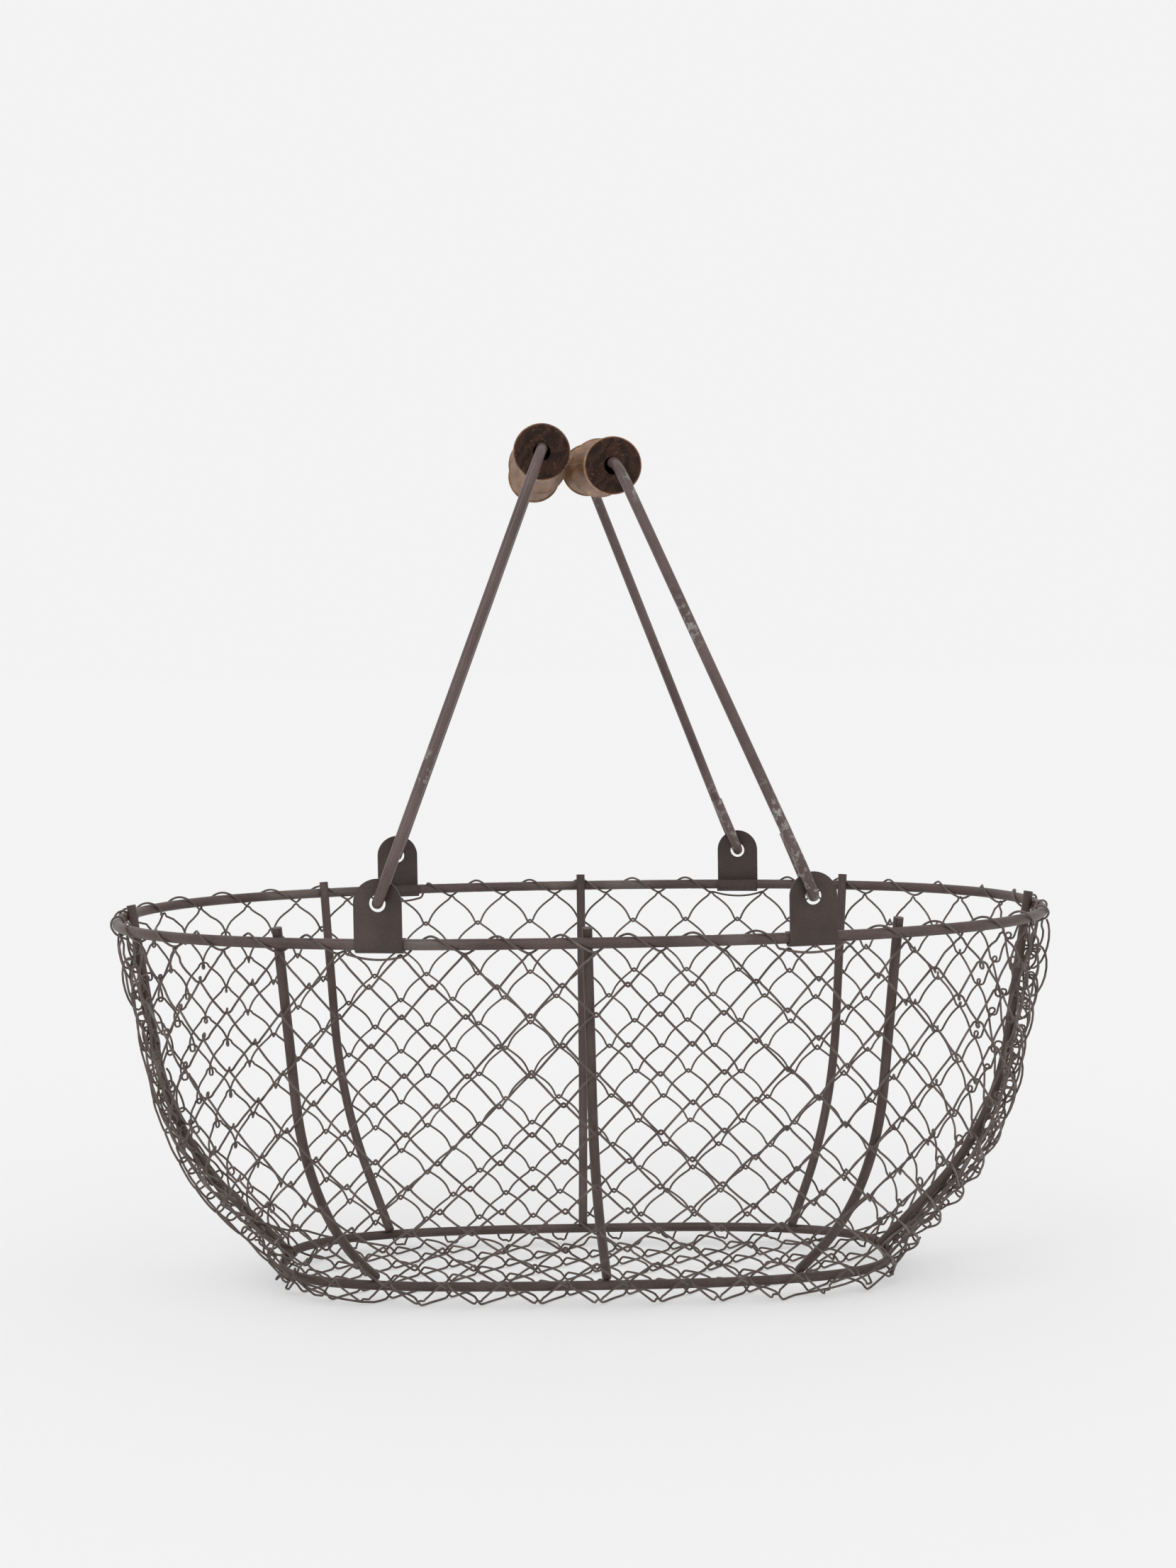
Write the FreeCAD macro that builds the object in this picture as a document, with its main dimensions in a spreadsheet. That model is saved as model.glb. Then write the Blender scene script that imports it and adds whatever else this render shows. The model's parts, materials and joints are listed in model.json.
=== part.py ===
"""Wire produce basket: welded rod frame, woven wire fabric, two swinging bails with turned wooden grips.

Frame: millimetres, +Z up, +X along the basket's length, origin on the standing surface under the
middle of the basket.
"""
import FreeCAD, Part
import math
import os

import Sketcher
from FreeCAD import Placement, Rotation, Vector

DIMENSIONS = {
    # Rim and base ring: superellipses |x/a|^p + |y/b|^p = 1 of round rod.
    "rim_half_length": 207.5,
    "rim_half_width": 120.2,
    "rim_power": 2.35,
    "rim_height": 167.0,
    "rim_rod": 4.6,
    "base_half_length": 137.9,
    "base_half_width": 50.6,
    "base_power": 2.9,
    "base_height": 8.4,
    "base_rod": 4.2,
    # Ribs: bent rods, straight under the rim, one long bend, straight to the base ring.
    "rib_rod": 4.2,
    "rib_lean": 8.3,
    "rib_foot_slope": 44.3,
    "rib_bend_radius": 126.0,
    "rib_tip_rise": 5.8,
    "rib_foot_inset": 2.9,
    "rib_foot_rise": 2.9,
    "weld_sink": 0.1,
    # Woven wire fabric, as closed shells of the fabric's middle surface.
    "fabric_shell": 2.0,
    "fabric_lean": 9.3,
    "fabric_foot_slope": 41.0,
    "fabric_bend_radius": 115.0,
    "fabric_top_drop": 5.0,
    "fabric_foot_flare": 2.6,
    "fabric_foot_height": 2.7,
    "floor_panel": 2.6,
    "seam_at_rim": 128.0,
    "seam_at_base": 93.0,
    # Lacing wire round the rim, as a sleeve.
    "lacing_wire": 1.2,
    "lacing_gap": 0.25,
    "lacing_open": 136.0,
    "lacing_stop": 1.5,
    # Tabs: sheet folded round the rim, with a round top and one hole.
    "tab_front_left_x": -81.3,
    "tab_front_right_x": 93.35,
    "tab_back_left_x": -91.2,
    "tab_back_right_x": 79.65,
    "tab_width": 20.0,
    "tab_sheet": 1.0,
    "tab_gap": 0.25,
    "tab_hole": 7.0,
    "tab_hole_rise": 17.0,
    "tab_curl_rise": 2.3,
    # Bails: round wire in one plane, hooked through the tabs at both ends. The hook sizes are
    # distances from the middle of the tab's sheet.
    "bail_wire": 4.6,
    "hook_outside": 4.1,
    "hook_inside": 5.1,
    "hook_stub": 28.0,
    "arm_straight": 15.0,
    "arm_bend": 12.0,
    "shoulder_half_span": 70.5,
    "shoulder_bend": 16.0,
    "left_lean": 20.8,
    "left_reach_front": 199.9,
    "left_reach_back": 198.6,
    "right_lean": 22.35,
    "right_reach_front": 194.6,
    "right_reach_back": 203.2,
    # Grips: turned wood, a land at each end, two coves and a ridge in the middle.
    "grip_length": 114.0,
    "grip_end": 24.5,
    "grip_land": 5.0,
    "grip_cove": 21.8,
    "grip_cove_at": 0.55,
    "grip_ridge": 26.4,
    "grip_ridge_width": 4.0,
    "grip_edge": 0.8,
    "grip_step": 0.5,
    "grip_bore": 7.6,
    "grip_hang": 1.2,
}

RING_SPANS = 48
CUT_MARGIN = 2.0
ARC_SPANS = 16
WALL_LEVELS = (0.0, 0.06, 0.13, 0.2, 0.29, 0.4, 0.53, 0.68, 0.84, 1.0)
RIB_STATIONS = {
    # name: (x on the rim, x on the base ring, side, how much flatter its foot is in degrees)
    "rib_front_left": (-124.5, -92.5, -1, 9.0),
    "rib_front_centre": (2.5, 9.0, -1, 0.0),
    "rib_front_right": (130.5, 94.0, -1, 6.0),
    "rib_back_left": (-127.0, -93.0, 1, 0.0),
    "rib_back_centre": (0.5, -1.0, 1, 0.0),
    "rib_back_right": (130.5, 98.5, 1, 4.0),
}

doc = FreeCAD.newDocument("wire_produce_basket")
sheet = doc.addObject("Spreadsheet::Sheet", "Dimensions")


def fill_sheet():
    """Writes every driving dimension to the sheet with its alias."""
    for row, (alias, value) in enumerate(DIMENSIONS.items(), start=1):
        sheet.set(f"A{row}", alias)
        sheet.set(f"B{row}", str(value))
        sheet.setAlias(f"B{row}", alias)
    doc.recompute()


def size(alias):
    return float(getattr(sheet, alias))


def ref(alias):
    """The expression text of one sheet cell."""
    return f"Dimensions.{alias}"


# ---------------------------------------------------------------- outlines

def superellipse_point(outline, angle, height):
    """The outline's point in a plan direction; an outline is (half length, half width, power)."""
    half_length, half_width, power = outline
    c = abs(math.cos(angle)) / half_length
    s = abs(math.sin(angle)) / half_width
    radius = (c ** power + s ** power) ** (-1.0 / power)
    return Vector(radius * math.cos(angle), radius * math.sin(angle), height)


def superellipse_arc(outline, start, end, height):
    """A smooth stretch of an outline between two plan directions."""
    step = (end - start) / ARC_SPANS
    points = [superellipse_point(outline, start + step * i, height) for i in range(ARC_SPANS + 1)]
    curve = Part.BSplineCurve()
    curve.interpolate(Points=points)
    return curve.toShape()


def superellipse_wire(outline, height):
    """The whole outline as one closed smooth curve."""
    step = 2.0 * math.pi / RING_SPANS
    points = [superellipse_point(outline, step * i, height) for i in range(RING_SPANS)]
    curve = Part.BSplineCurve()
    curve.interpolate(Points=points, PeriodicFlag=True)
    return Part.Wire([curve.toShape()])


def rim_outline(offset=0.0):
    return size("rim_half_length") + offset, size("rim_half_width") + offset, size("rim_power")


def base_outline(offset=0.0):
    return size("base_half_length") + offset, size("base_half_width") + offset, size("base_power")


def outline_y(outline, x):
    half_length, half_width, power = outline
    return half_width * (1.0 - (abs(x) / half_length) ** power) ** (1.0 / power)


def rim_normal_angle(x):
    """The plan angle between the rim's outward normal and the Y axis, at station x on the rim."""
    half_length, half_width, power = rim_outline()
    y = outline_y(rim_outline(), x)
    normal_x = (abs(x) / half_length) ** (power - 1.0) / half_length
    normal_y = (y / half_width) ** (power - 1.0) / half_width
    return math.degrees(math.atan2(normal_x, normal_y))


def feature(name, shape):
    result = doc.addObject("Part::Feature", name)
    result.Shape = shape
    return result


# ---------------------------------------------------------------- rod rings

def rod_ring(name, outline, height, rod):
    """A round rod bent round a whole outline and joined end to end."""
    path = feature(f"{name}_path", superellipse_wire(outline, height))
    section = doc.addObject("Part::Circle", f"{name}_section")
    section.setExpression("Radius", f"{ref(rod)} / 2")
    section.Placement = Placement(Vector(outline[0], 0, height), Rotation(Vector(1, 0, 0), 90))
    ring = doc.addObject("Part::Sweep", name)
    ring.Sections = [section]
    ring.Spine = (path, ["Edge1"])
    ring.Solid = True
    ring.Frenet = False
    ring.Label = name
    return ring


def build_rings():
    return [rod_ring("rim_ring", rim_outline(), size("rim_height"), "rim_rod"),
            rod_ring("base_ring", base_outline(), size("base_height"), "base_rod")]


# ---------------------------------------------------------------- sketches

def origin_plane(body, role):
    return next(item for item in body.Origin.OriginFeatures if item.Role == role)


def new_sketch(body, name, role):
    sketch = body.newObject("Sketcher::SketchObject", name)
    sketch.AttachmentSupport = [(origin_plane(body, role), "")]
    sketch.MapMode = "FlatFace"
    return sketch


def bind(sketch, kind, arguments, value, expression):
    """Adds one dimension to a sketch and ties it to the sheet."""
    index = sketch.addConstraint(Sketcher.Constraint(kind, *arguments, value))
    sketch.setExpression(f"Constraints[{index}]", expression)


# ---------------------------------------------------------------- ribs

def bent_profile(tip, foot, lean, foot_slope, radius):
    """Corner points and arc centre of a straight, an arc and a straight between tip and foot.

    Angles are from the vertical. The two straights take up what the arc leaves.
    """
    upper, lower = math.radians(lean), math.radians(foot_slope)
    across = tip.x - foot.x - radius * (math.cos(upper) - math.cos(lower))
    down = tip.y - foot.y - radius * (math.sin(lower) - math.sin(upper))
    turn = math.sin(lower - upper)
    upper_run = (down * math.sin(lower) - across * math.cos(lower)) / turn
    arc_top = tip - Vector(math.sin(upper), math.cos(upper), 0) * upper_run
    centre = arc_top - Vector(math.cos(upper), -math.sin(upper), 0) * radius
    arc_foot = centre + Vector(math.cos(lower), -math.sin(lower), 0) * radius
    return arc_top, arc_foot, centre


def scaled_slope(alias, reach_ratio):
    return math.degrees(math.atan(math.tan(math.radians(size(alias))) * reach_ratio))


def rib_path(body, name, span, flatter):
    """The rib's centre line: X outward from the foot, Y up from the standing surface."""
    ratio = span / end_rib_span()
    lean = scaled_slope("rib_lean", ratio)
    foot_slope = scaled_slope("rib_foot_slope", ratio) + flatter
    foot = Vector(0, size("base_height") + size("rib_foot_rise"), 0)
    rise = size("rib_tip_rise")
    tip = Vector(span + rise * math.tan(math.radians(lean)), size("rim_height") + rise, 0)
    radius = size("rib_bend_radius")
    arc_top, arc_foot, centre = bent_profile(tip, foot, lean, foot_slope, radius)
    path = new_sketch(body, f"{name}_path", "XZ_Plane")
    path.addGeometry(Part.LineSegment(tip, arc_top))
    circle = Part.Circle(centre, Vector(0, 0, 1), radius)
    start = math.radians(-foot_slope)
    path.addGeometry(Part.ArcOfCircle(circle, start, math.radians(-lean)))
    path.addGeometry(Part.LineSegment(arc_foot, foot))
    path.addConstraint(Sketcher.Constraint("Tangent", 0, 2, 1, 2))
    path.addConstraint(Sketcher.Constraint("Tangent", 1, 1, 2, 1))
    path.addConstraint(Sketcher.Constraint("PointOnObject", 2, 2, -2))
    bind(path, "DistanceY", (-1, 1, 2, 2), foot.y, f"{ref('base_height')} + {ref('rib_foot_rise')}")
    bind(path, "DistanceY", (-1, 1, 0, 1), tip.y, f"{ref('rim_height')} + {ref('rib_tip_rise')}")
    bind(path, "Radius", (1,), radius, ref("rib_bend_radius"))
    path.addConstraint(Sketcher.Constraint("DistanceX", -1, 1, 0, 1, tip.x))
    return path, tip, lean


def end_rib_span():
    """Horizontal distance from an end rib's foot to its centre line at rim height."""
    rim = size("rim_half_length") - rib_rim_inset()
    return rim - size("base_half_length") + size("rib_foot_inset")


def rib_rim_inset():
    """Rim centre to rib centre: the two rods touch inside the rim."""
    touching = (size("rim_rod") + size("rib_rod")) / 2.0
    return touching / math.cos(math.radians(size("rib_lean"))) - size("weld_sink")


def build_rib(name, foot, top, flatter=0.0):
    """One rib in the vertical plane through two plan points."""
    across = Vector(top.x - foot.x, top.y - foot.y, 0)
    body = doc.addObject("PartDesign::Body", name)
    body.Label = name
    path, tip, lean = rib_path(body, name, across.Length, flatter)
    section = new_sketch(body, f"{name}_section", "XY_Plane")
    section.AttachmentOffset = Placement(Vector(tip.x, 0, tip.y), Rotation(Vector(0, 1, 0), lean))
    section.addGeometry(Part.Circle(Vector(0, 0, 0), Vector(0, 0, 1), size("rib_rod") / 2.0))
    section.addConstraint(Sketcher.Constraint("Coincident", 0, 3, -1, 1))
    bind(section, "Diameter", (0,), size("rib_rod"), ref("rib_rod"))
    doc.recompute()
    pipe = body.newObject("PartDesign::AdditivePipe", f"{name}_rod")
    pipe.Profile = section
    pipe.Spine = (path, ["Edge1", "Edge2", "Edge3"])
    body.Tip = pipe
    heading = math.degrees(math.atan2(across.y, across.x))
    body.Placement = Placement(Vector(foot.x, foot.y, 0), Rotation(Vector(0, 0, 1), heading))
    return body


def build_ribs():
    rim = rim_outline(-rib_rim_inset())
    base = base_outline(-size("rib_foot_inset"))
    ribs = []
    for name, (rim_x, base_x, side, flatter) in RIB_STATIONS.items():
        foot = Vector(base_x, side * outline_y(base, base_x), 0)
        top = Vector(rim_x, side * outline_y(rim, rim_x), 0)
        ribs.append(build_rib(name, foot, top, flatter))
    for name, sign in (("rib_left_end", -1), ("rib_right_end", 1)):
        ribs.append(build_rib(name, Vector(sign * base[0], 0, 0), Vector(sign * rim[0], 0, 0)))
    return ribs


# ---------------------------------------------------------------- woven fabric

def fabric_flare(height):
    """How far the fabric stands outside the base ring's outline at a height."""
    top = Vector(size("rim_half_length") - size("base_half_length"),
                 size("rim_height") - size("fabric_top_drop"), 0)
    foot = Vector(size("fabric_foot_flare"), size("fabric_foot_height"), 0)
    lean, slope = size("fabric_lean"), size("fabric_foot_slope")
    radius = size("fabric_bend_radius")
    arc_top, arc_foot, centre = bent_profile(top, foot, lean, slope, radius)
    if height >= arc_top.y:
        return top.x - (top.y - height) * math.tan(math.radians(lean))
    if height <= arc_foot.y:
        return foot.x + (height - foot.y) * math.tan(math.radians(slope))
    return centre.x + math.sqrt(radius ** 2 - (centre.y - height) ** 2)


def wall_outline(height, outward):
    """One face of the wall at a height: the base ring's outline grown by the flare there."""
    flare = fabric_flare(height)
    share = flare / (size("rim_half_length") - size("base_half_length"))
    power = size("base_power") + (size("rim_power") - size("base_power")) * share
    grown = flare + outward
    return size("base_half_length") + grown, size("base_half_width") + grown, power


def seam_angle(height):
    """Plan direction of the seam between a long panel and an end panel: it follows a side rib."""
    flare = fabric_flare(height)
    share = flare / (size("rim_half_length") - size("base_half_length"))
    x = size("seam_at_base") + (size("seam_at_rim") - size("seam_at_base")) * share
    return math.atan2(outline_y(wall_outline(height, 0.0), x), x)


def wall_section(start, end, height):
    """A closed cross-section of one wall panel between two plan directions."""
    half = size("fabric_shell") / 2.0
    outer = superellipse_arc(wall_outline(height, half), start, end, height)
    inner = superellipse_arc(wall_outline(height, -half), start, end, height)
    sides = [Part.makeLine(outer.Vertexes[i].Point, inner.Vertexes[i].Point) for i in (0, 1)]
    return Part.Wire(Part.__sortEdges__([outer, sides[1], inner, sides[0]]))


def wall_panel(name, span):
    """A loft through the wall's cross-sections, from the floor panel to just under the rim.

    span gives the panel's two plan directions from the seam's direction at that height.
    """
    low = size("fabric_foot_height")
    high = size("rim_height") - size("fabric_top_drop")
    sections = []
    for number, share in enumerate(WALL_LEVELS):
        height = low + share * (high - low)
        start, end = span(seam_angle(height))
        sections.append(feature(f"{name}_{number}", wall_section(start, end, height)))
    panel = doc.addObject("Part::Loft", name)
    panel.Sections = sections
    panel.Solid = True
    panel.Ruled = False
    panel.Label = name
    return panel


def build_fabric():
    """The wall in four panels and the floor in one."""
    spans = {
        "mesh_front": lambda seam: (seam - math.pi, -seam),
        "mesh_back": lambda seam: (seam, math.pi - seam),
        "mesh_left_end": lambda seam: (math.pi - seam, math.pi + seam),
        "mesh_right_end": lambda seam: (-seam, seam),
    }
    panels = [wall_panel(name, span) for name, span in spans.items()]
    return panels + [build_floor_panel()]


def build_floor_panel():
    flare = size("fabric_foot_flare") + size("fabric_shell") / 2.0
    outline = feature("floor_outline", superellipse_wire(base_outline(flare), 0))
    panel = doc.addObject("Part::Extrusion", "mesh_base")
    panel.Base = outline
    panel.DirMode = "Custom"
    panel.Dir = Vector(0, 0, 1)
    panel.setExpression("LengthFwd", ref("floor_panel"))
    panel.Solid = True
    panel.Label = "mesh_base"
    return panel


def sleeve_section():
    """Cross-section of the lacing sleeve at the +X end: a ring open towards the basket's inside."""
    inner = size("rim_rod") / 2.0 + size("lacing_gap")
    outer = inner + size("lacing_wire")
    gap = math.radians(size("lacing_open") / 2.0)

    def around(radius, angle):
        return Vector(0, radius * math.sin(angle), radius * math.cos(angle))

    faces = []
    for radius in (outer, inner):
        start, end = gap - math.pi / 2.0, 1.5 * math.pi - gap
        faces.append(Part.Arc(around(radius, start), around(radius, (start + end) / 2.0),
                              around(radius, end)).toShape())
    sides = [Part.makeLine(faces[0].Vertexes[i].Point, faces[1].Vertexes[i].Point) for i in (0, 1)]
    return Part.Wire(Part.__sortEdges__([faces[0], sides[0], faces[1], sides[1]]))


def sleeve(name, start, end):
    """One stretch of the sleeve between two plan directions on the rim."""
    path = superellipse_arc(rim_outline(), start, end, size("rim_height"))
    tangent = path.tangentAt(path.FirstParameter)
    outward = tangent.cross(Vector(0, 0, 1))
    section = sleeve_section()
    section.Placement = Placement(path.Vertexes[0].Point,
                                  Rotation(tangent, outward, Vector(0, 0, 1), "XYZ"))
    strip = doc.addObject("Part::Sweep", name)
    strip.Sections = [feature(f"{name}_section", section)]
    strip.Spine = (feature(f"{name}_path", Part.Wire([path])), ["Edge1"])
    strip.Solid = True
    strip.Frenet = False
    return strip


def lacing_spans(first, second):
    """Three stretches of half the rim, from its first end, leaving room for two tabs."""
    rim = rim_outline()
    clear = size("tab_width") / 2.0 + size("lacing_stop")
    end = math.atan2(size("lacing_stop") * 2.0, rim[0])

    def direction(x):
        return math.atan2(outline_y(rim, x), x)

    return [(end, direction(first + clear)), (direction(first - clear), direction(second + clear)),
            (direction(second - clear), math.pi - end)]


def build_lacing():
    """The wire that laces the fabric to the rim, front and back."""
    spans = {
        "lacing_back": (0.0, lacing_spans(size("tab_back_right_x"), size("tab_back_left_x"))),
        "lacing_front": (math.pi, lacing_spans(-size("tab_front_left_x"), -size("tab_front_right_x"))),
    }
    lacings = []
    for name, (turn, stretches) in spans.items():
        strips = [sleeve(f"{name}_{n}", turn + a, turn + b) for n, (a, b) in enumerate(stretches)]
        lacing = doc.addObject("Part::Compound", name)
        lacing.Links = strips
        lacing.Label = name
        lacings.append(lacing)
    return lacings


# ---------------------------------------------------------------- tabs

def tab_profile(body, name):
    """Edge view of the folded sheet: X outward from the rim's centre, Y up."""
    inner = size("rim_rod") / 2.0 + size("tab_gap")
    outer = inner + size("tab_sheet")
    top = size("tab_hole_rise") + size("tab_width") / 2.0
    curl = size("tab_curl_rise")
    sketch = new_sketch(body, f"{name}_profile", "XZ_Plane")
    sketch.addGeometry(Part.LineSegment(Vector(outer, top, 0), Vector(outer, 0, 0)))
    sketch.addGeometry(half_turn(outer))
    sketch.addGeometry(Part.LineSegment(Vector(-outer, 0, 0), Vector(-outer, curl, 0)))
    sketch.addGeometry(Part.LineSegment(Vector(-outer, curl, 0), Vector(-inner, curl, 0)))
    sketch.addGeometry(Part.LineSegment(Vector(-inner, curl, 0), Vector(-inner, 0, 0)))
    sketch.addGeometry(half_turn(inner))
    sketch.addGeometry(Part.LineSegment(Vector(inner, 0, 0), Vector(inner, top, 0)))
    sketch.addGeometry(Part.LineSegment(Vector(inner, top, 0), Vector(outer, top, 0)))
    join_loop(sketch, [(0, 2, 1, 2), (1, 1, 2, 1), (2, 2, 3, 1), (3, 2, 4, 1), (4, 2, 5, 1),
                       (5, 2, 6, 1), (6, 2, 7, 1), (7, 2, 0, 1)])
    for arc in (1, 5):
        sketch.addConstraint(Sketcher.Constraint("Coincident", arc, 3, -1, 1))
    for upright in (0, 2, 4, 6):
        sketch.addConstraint(Sketcher.Constraint("Vertical", upright))
    for level in (3, 7):
        sketch.addConstraint(Sketcher.Constraint("Horizontal", level))
    sketch.addConstraint(Sketcher.Constraint("PointOnObject", 0, 2, -1))
    sketch.addConstraint(Sketcher.Constraint("PointOnObject", 2, 1, -1))
    sketch.addConstraint(Sketcher.Constraint("PointOnObject", 4, 2, -1))
    sketch.addConstraint(Sketcher.Constraint("PointOnObject", 6, 1, -1))
    rod_radius = f"{ref('rim_rod')} / 2 + {ref('tab_gap')}"
    bind(sketch, "Radius", (5,), inner, rod_radius)
    bind(sketch, "Radius", (1,), outer, f"{rod_radius} + {ref('tab_sheet')}")
    bind(sketch, "DistanceY", (-1, 1, 0, 1), top, f"{ref('tab_hole_rise')} + {ref('tab_width')} / 2")
    bind(sketch, "DistanceY", (-1, 1, 2, 2), curl, ref("tab_curl_rise"))
    return sketch


def half_turn(radius):
    """The lower half of a circle about the sketch's origin."""
    return Part.ArcOfCircle(Part.Circle(Vector(0, 0, 0), Vector(0, 0, 1), radius), math.pi, 2 * math.pi)


def join_loop(sketch, joints):
    for joint in joints:
        sketch.addConstraint(Sketcher.Constraint("Coincident", *joint))


def tab_corner_sketch(body, name):
    """What the round top takes off the plate's upper corners, seen square to the plate."""
    half = size("tab_width") / 2.0
    rise = size("tab_hole_rise")
    wide, high = half + CUT_MARGIN, rise + half + CUT_MARGIN
    sketch = new_sketch(body, f"{name}_corners", "YZ_Plane")
    circle = Part.Circle(Vector(0, rise, 0), Vector(0, 0, 1), half)
    sketch.addGeometry(Part.ArcOfCircle(circle, 0, math.pi))
    corners = [Vector(-half, rise, 0), Vector(-wide, rise, 0), Vector(-wide, high, 0),
               Vector(wide, high, 0), Vector(wide, rise, 0), Vector(half, rise, 0)]
    for start, end in zip(corners, corners[1:]):
        sketch.addGeometry(Part.LineSegment(start, end))
    join_loop(sketch, [(0, 2, 1, 1), (1, 2, 2, 1), (2, 2, 3, 1), (3, 2, 4, 1), (4, 2, 5, 1),
                       (5, 2, 0, 1)])
    sketch.addConstraint(Sketcher.Constraint("PointOnObject", 0, 3, -2))
    bind(sketch, "DistanceY", (-1, 1, 0, 3), rise, ref("tab_hole_rise"))
    bind(sketch, "Radius", (0,), half, f"{ref('tab_width')} / 2")
    return sketch


def tab_hole_sketch(body, name):
    sketch = new_sketch(body, f"{name}_hole", "YZ_Plane")
    rise = size("tab_hole_rise")
    sketch.addGeometry(Part.Circle(Vector(0, rise, 0), Vector(0, 0, 1), size("tab_hole") / 2.0))
    sketch.addConstraint(Sketcher.Constraint("PointOnObject", 0, 3, -2))
    bind(sketch, "DistanceY", (-1, 1, 0, 3), rise, ref("tab_hole_rise"))
    bind(sketch, "Diameter", (0,), size("tab_hole"), ref("tab_hole"))
    return sketch


def cut_through(body, name, sketch):
    """A pocket through the whole tab, both ways from the sketch's plane."""
    before = body.Tip.Shape.Volume
    pocket = body.newObject("PartDesign::Pocket", name)
    pocket.Profile = sketch
    pocket.Type = "ThroughAll"
    pocket.Midplane = True
    body.Tip = pocket
    doc.recompute()
    if not pocket.Shape.Volume < before:
        raise RuntimeError(f"{name} removes nothing")


def build_tab(name, x, side):
    """One tab: X outward, Z up in its own frame, origin at the rim's centre line."""
    body = doc.addObject("PartDesign::Body", name)
    body.Label = name
    pad = body.newObject("PartDesign::Pad", f"{name}_sheet")
    pad.Profile = tab_profile(body, name)
    pad.setExpression("Length", ref("tab_width"))
    pad.Midplane = True
    body.Tip = pad
    doc.recompute()
    cut_through(body, f"{name}_round_top", tab_corner_sketch(body, name))
    cut_through(body, f"{name}_eye", tab_hole_sketch(body, name))
    body.Placement = tab_placement(x, side)
    return body


def tab_placement(x, side):
    """Square to the rim at a station: X outward, Z up."""
    off_axis = math.copysign(rim_normal_angle(x), x)
    return Placement(Vector(x, side * outline_y(rim_outline(), x), size("rim_height")),
                     Rotation(Vector(0, 0, 1), side * (90.0 - off_axis)))


def build_tabs():
    return [build_tab(f"tab_{face}_{end}", size(f"tab_{face}_{end}_x"), side)
            for face, side in (("front", -1), ("back", 1)) for end in ("left", "right")]


# ---------------------------------------------------------------- bails

def tab_eye(face, end):
    """The middle of one tab's hole, halfway through the sheet."""
    plate = size("rim_rod") / 2.0 + size("tab_gap") + size("tab_sheet") / 2.0
    place = tab_placement(size(f"tab_{face}_{end}_x"), -1 if face == "front" else 1)
    return place.multVec(Vector(plate, 0, size("tab_hole_rise")))


def hinge(end):
    """A bail's hinge: its point over the basket's long axis, its skew in plan and its two reaches."""
    front, back = tab_eye("front", end), tab_eye("back", end)
    share = -front.y / (back.y - front.y)
    middle = front + (back - front) * share
    skew = math.degrees(math.atan2(front.x - back.x, back.y - front.y))
    return middle, skew, front.distanceToPoint(middle), back.distanceToPoint(middle)


def rounded_corner(before, corner, after, radius):
    """The tangent arc that replaces one corner of a route."""
    back = (before - corner).normalize()
    ahead = (after - corner).normalize()
    half = back.getAngle(ahead) / 2.0
    run = radius / math.tan(half)
    bisector = (back + ahead).normalize()
    centre = corner + bisector * (radius / math.sin(half))
    return Part.Arc(corner + back * run, centre - bisector * radius, corner + ahead * run)


def hook_edges(side, eye):
    """Stub, half turn through the tab hole; the plane is X along the hinge, Y along the arm."""
    outside, inside = eye + size("hook_outside"), eye - size("hook_inside")
    turn = (outside - inside) / 2.0
    centre = Vector(side * (outside + inside) / 2.0, turn, 0)
    stub_tip = Vector(side * inside, size("hook_stub"), 0)
    stub_foot = Vector(side * inside, turn, 0)
    outer_foot = Vector(side * outside, turn, 0)
    bottom = centre - Vector(0, turn, 0)
    return [Part.LineSegment(stub_tip, stub_foot), Part.Arc(stub_foot, bottom, outer_foot)], outer_foot


def bail_route(end):
    """The whole bail as one flat wire of straights and tangent arcs, front (-) to back (+)."""
    span, straight = size("shoulder_half_span"), size("arm_straight")
    _, _, front_eye, back_eye = hinge(end)
    front_hook, front_foot = hook_edges(-1, front_eye)
    back_hook, back_foot = hook_edges(1, back_eye)
    slope, middle = bar_line(end)
    corners = [
        front_foot,
        Vector(front_foot.x, straight, 0),
        Vector(-span, middle - slope * span, 0),
        Vector(span, middle + slope * span, 0),
        Vector(back_foot.x, straight, 0),
        back_foot,
    ]
    radii = [size("arm_bend"), size("shoulder_bend"), size("shoulder_bend"), size("arm_bend")]
    edges = list(front_hook)
    at = corners[0]
    for index, radius in enumerate(radii, start=1):
        arc = rounded_corner(corners[index - 1], corners[index], corners[index + 1], radius)
        edges += [Part.LineSegment(at, arc.toShape().Vertexes[0].Point), arc]
        at = arc.toShape().Vertexes[-1].Point
    edges.append(Part.LineSegment(at, corners[-1]))
    edges += [back_hook[1], back_hook[0]]
    return Part.Wire(Part.__sortEdges__([edge.toShape() for edge in edges]))


def bar_line(end):
    """Slope and middle reach of the bar that carries the grip, in the bail's plane."""
    front, back = size(f"{end}_reach_front"), size(f"{end}_reach_back")
    return (back - front) / size("grip_length"), (back + front) / 2.0


def bail_lean(end, sign):
    """Turns the basket's Y to the hinge line and leans Z over it."""
    _, skew, _, _ = hinge(end)
    return Rotation(Vector(0, 0, 1), skew).multiply(Rotation(Vector(0, 1, 0), -sign * size(f"{end}_lean")))


def bail_placement(end, sign):
    """Puts the flat route's X along the hinge and its Y up along the leaning arm."""
    upright = Rotation(Vector(0, 1, 0), Vector(0, 0, 1), Vector(1, 0, 0), "ZXY")
    return Placement(hinge(end)[0], bail_lean(end, sign).multiply(upright))


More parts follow.
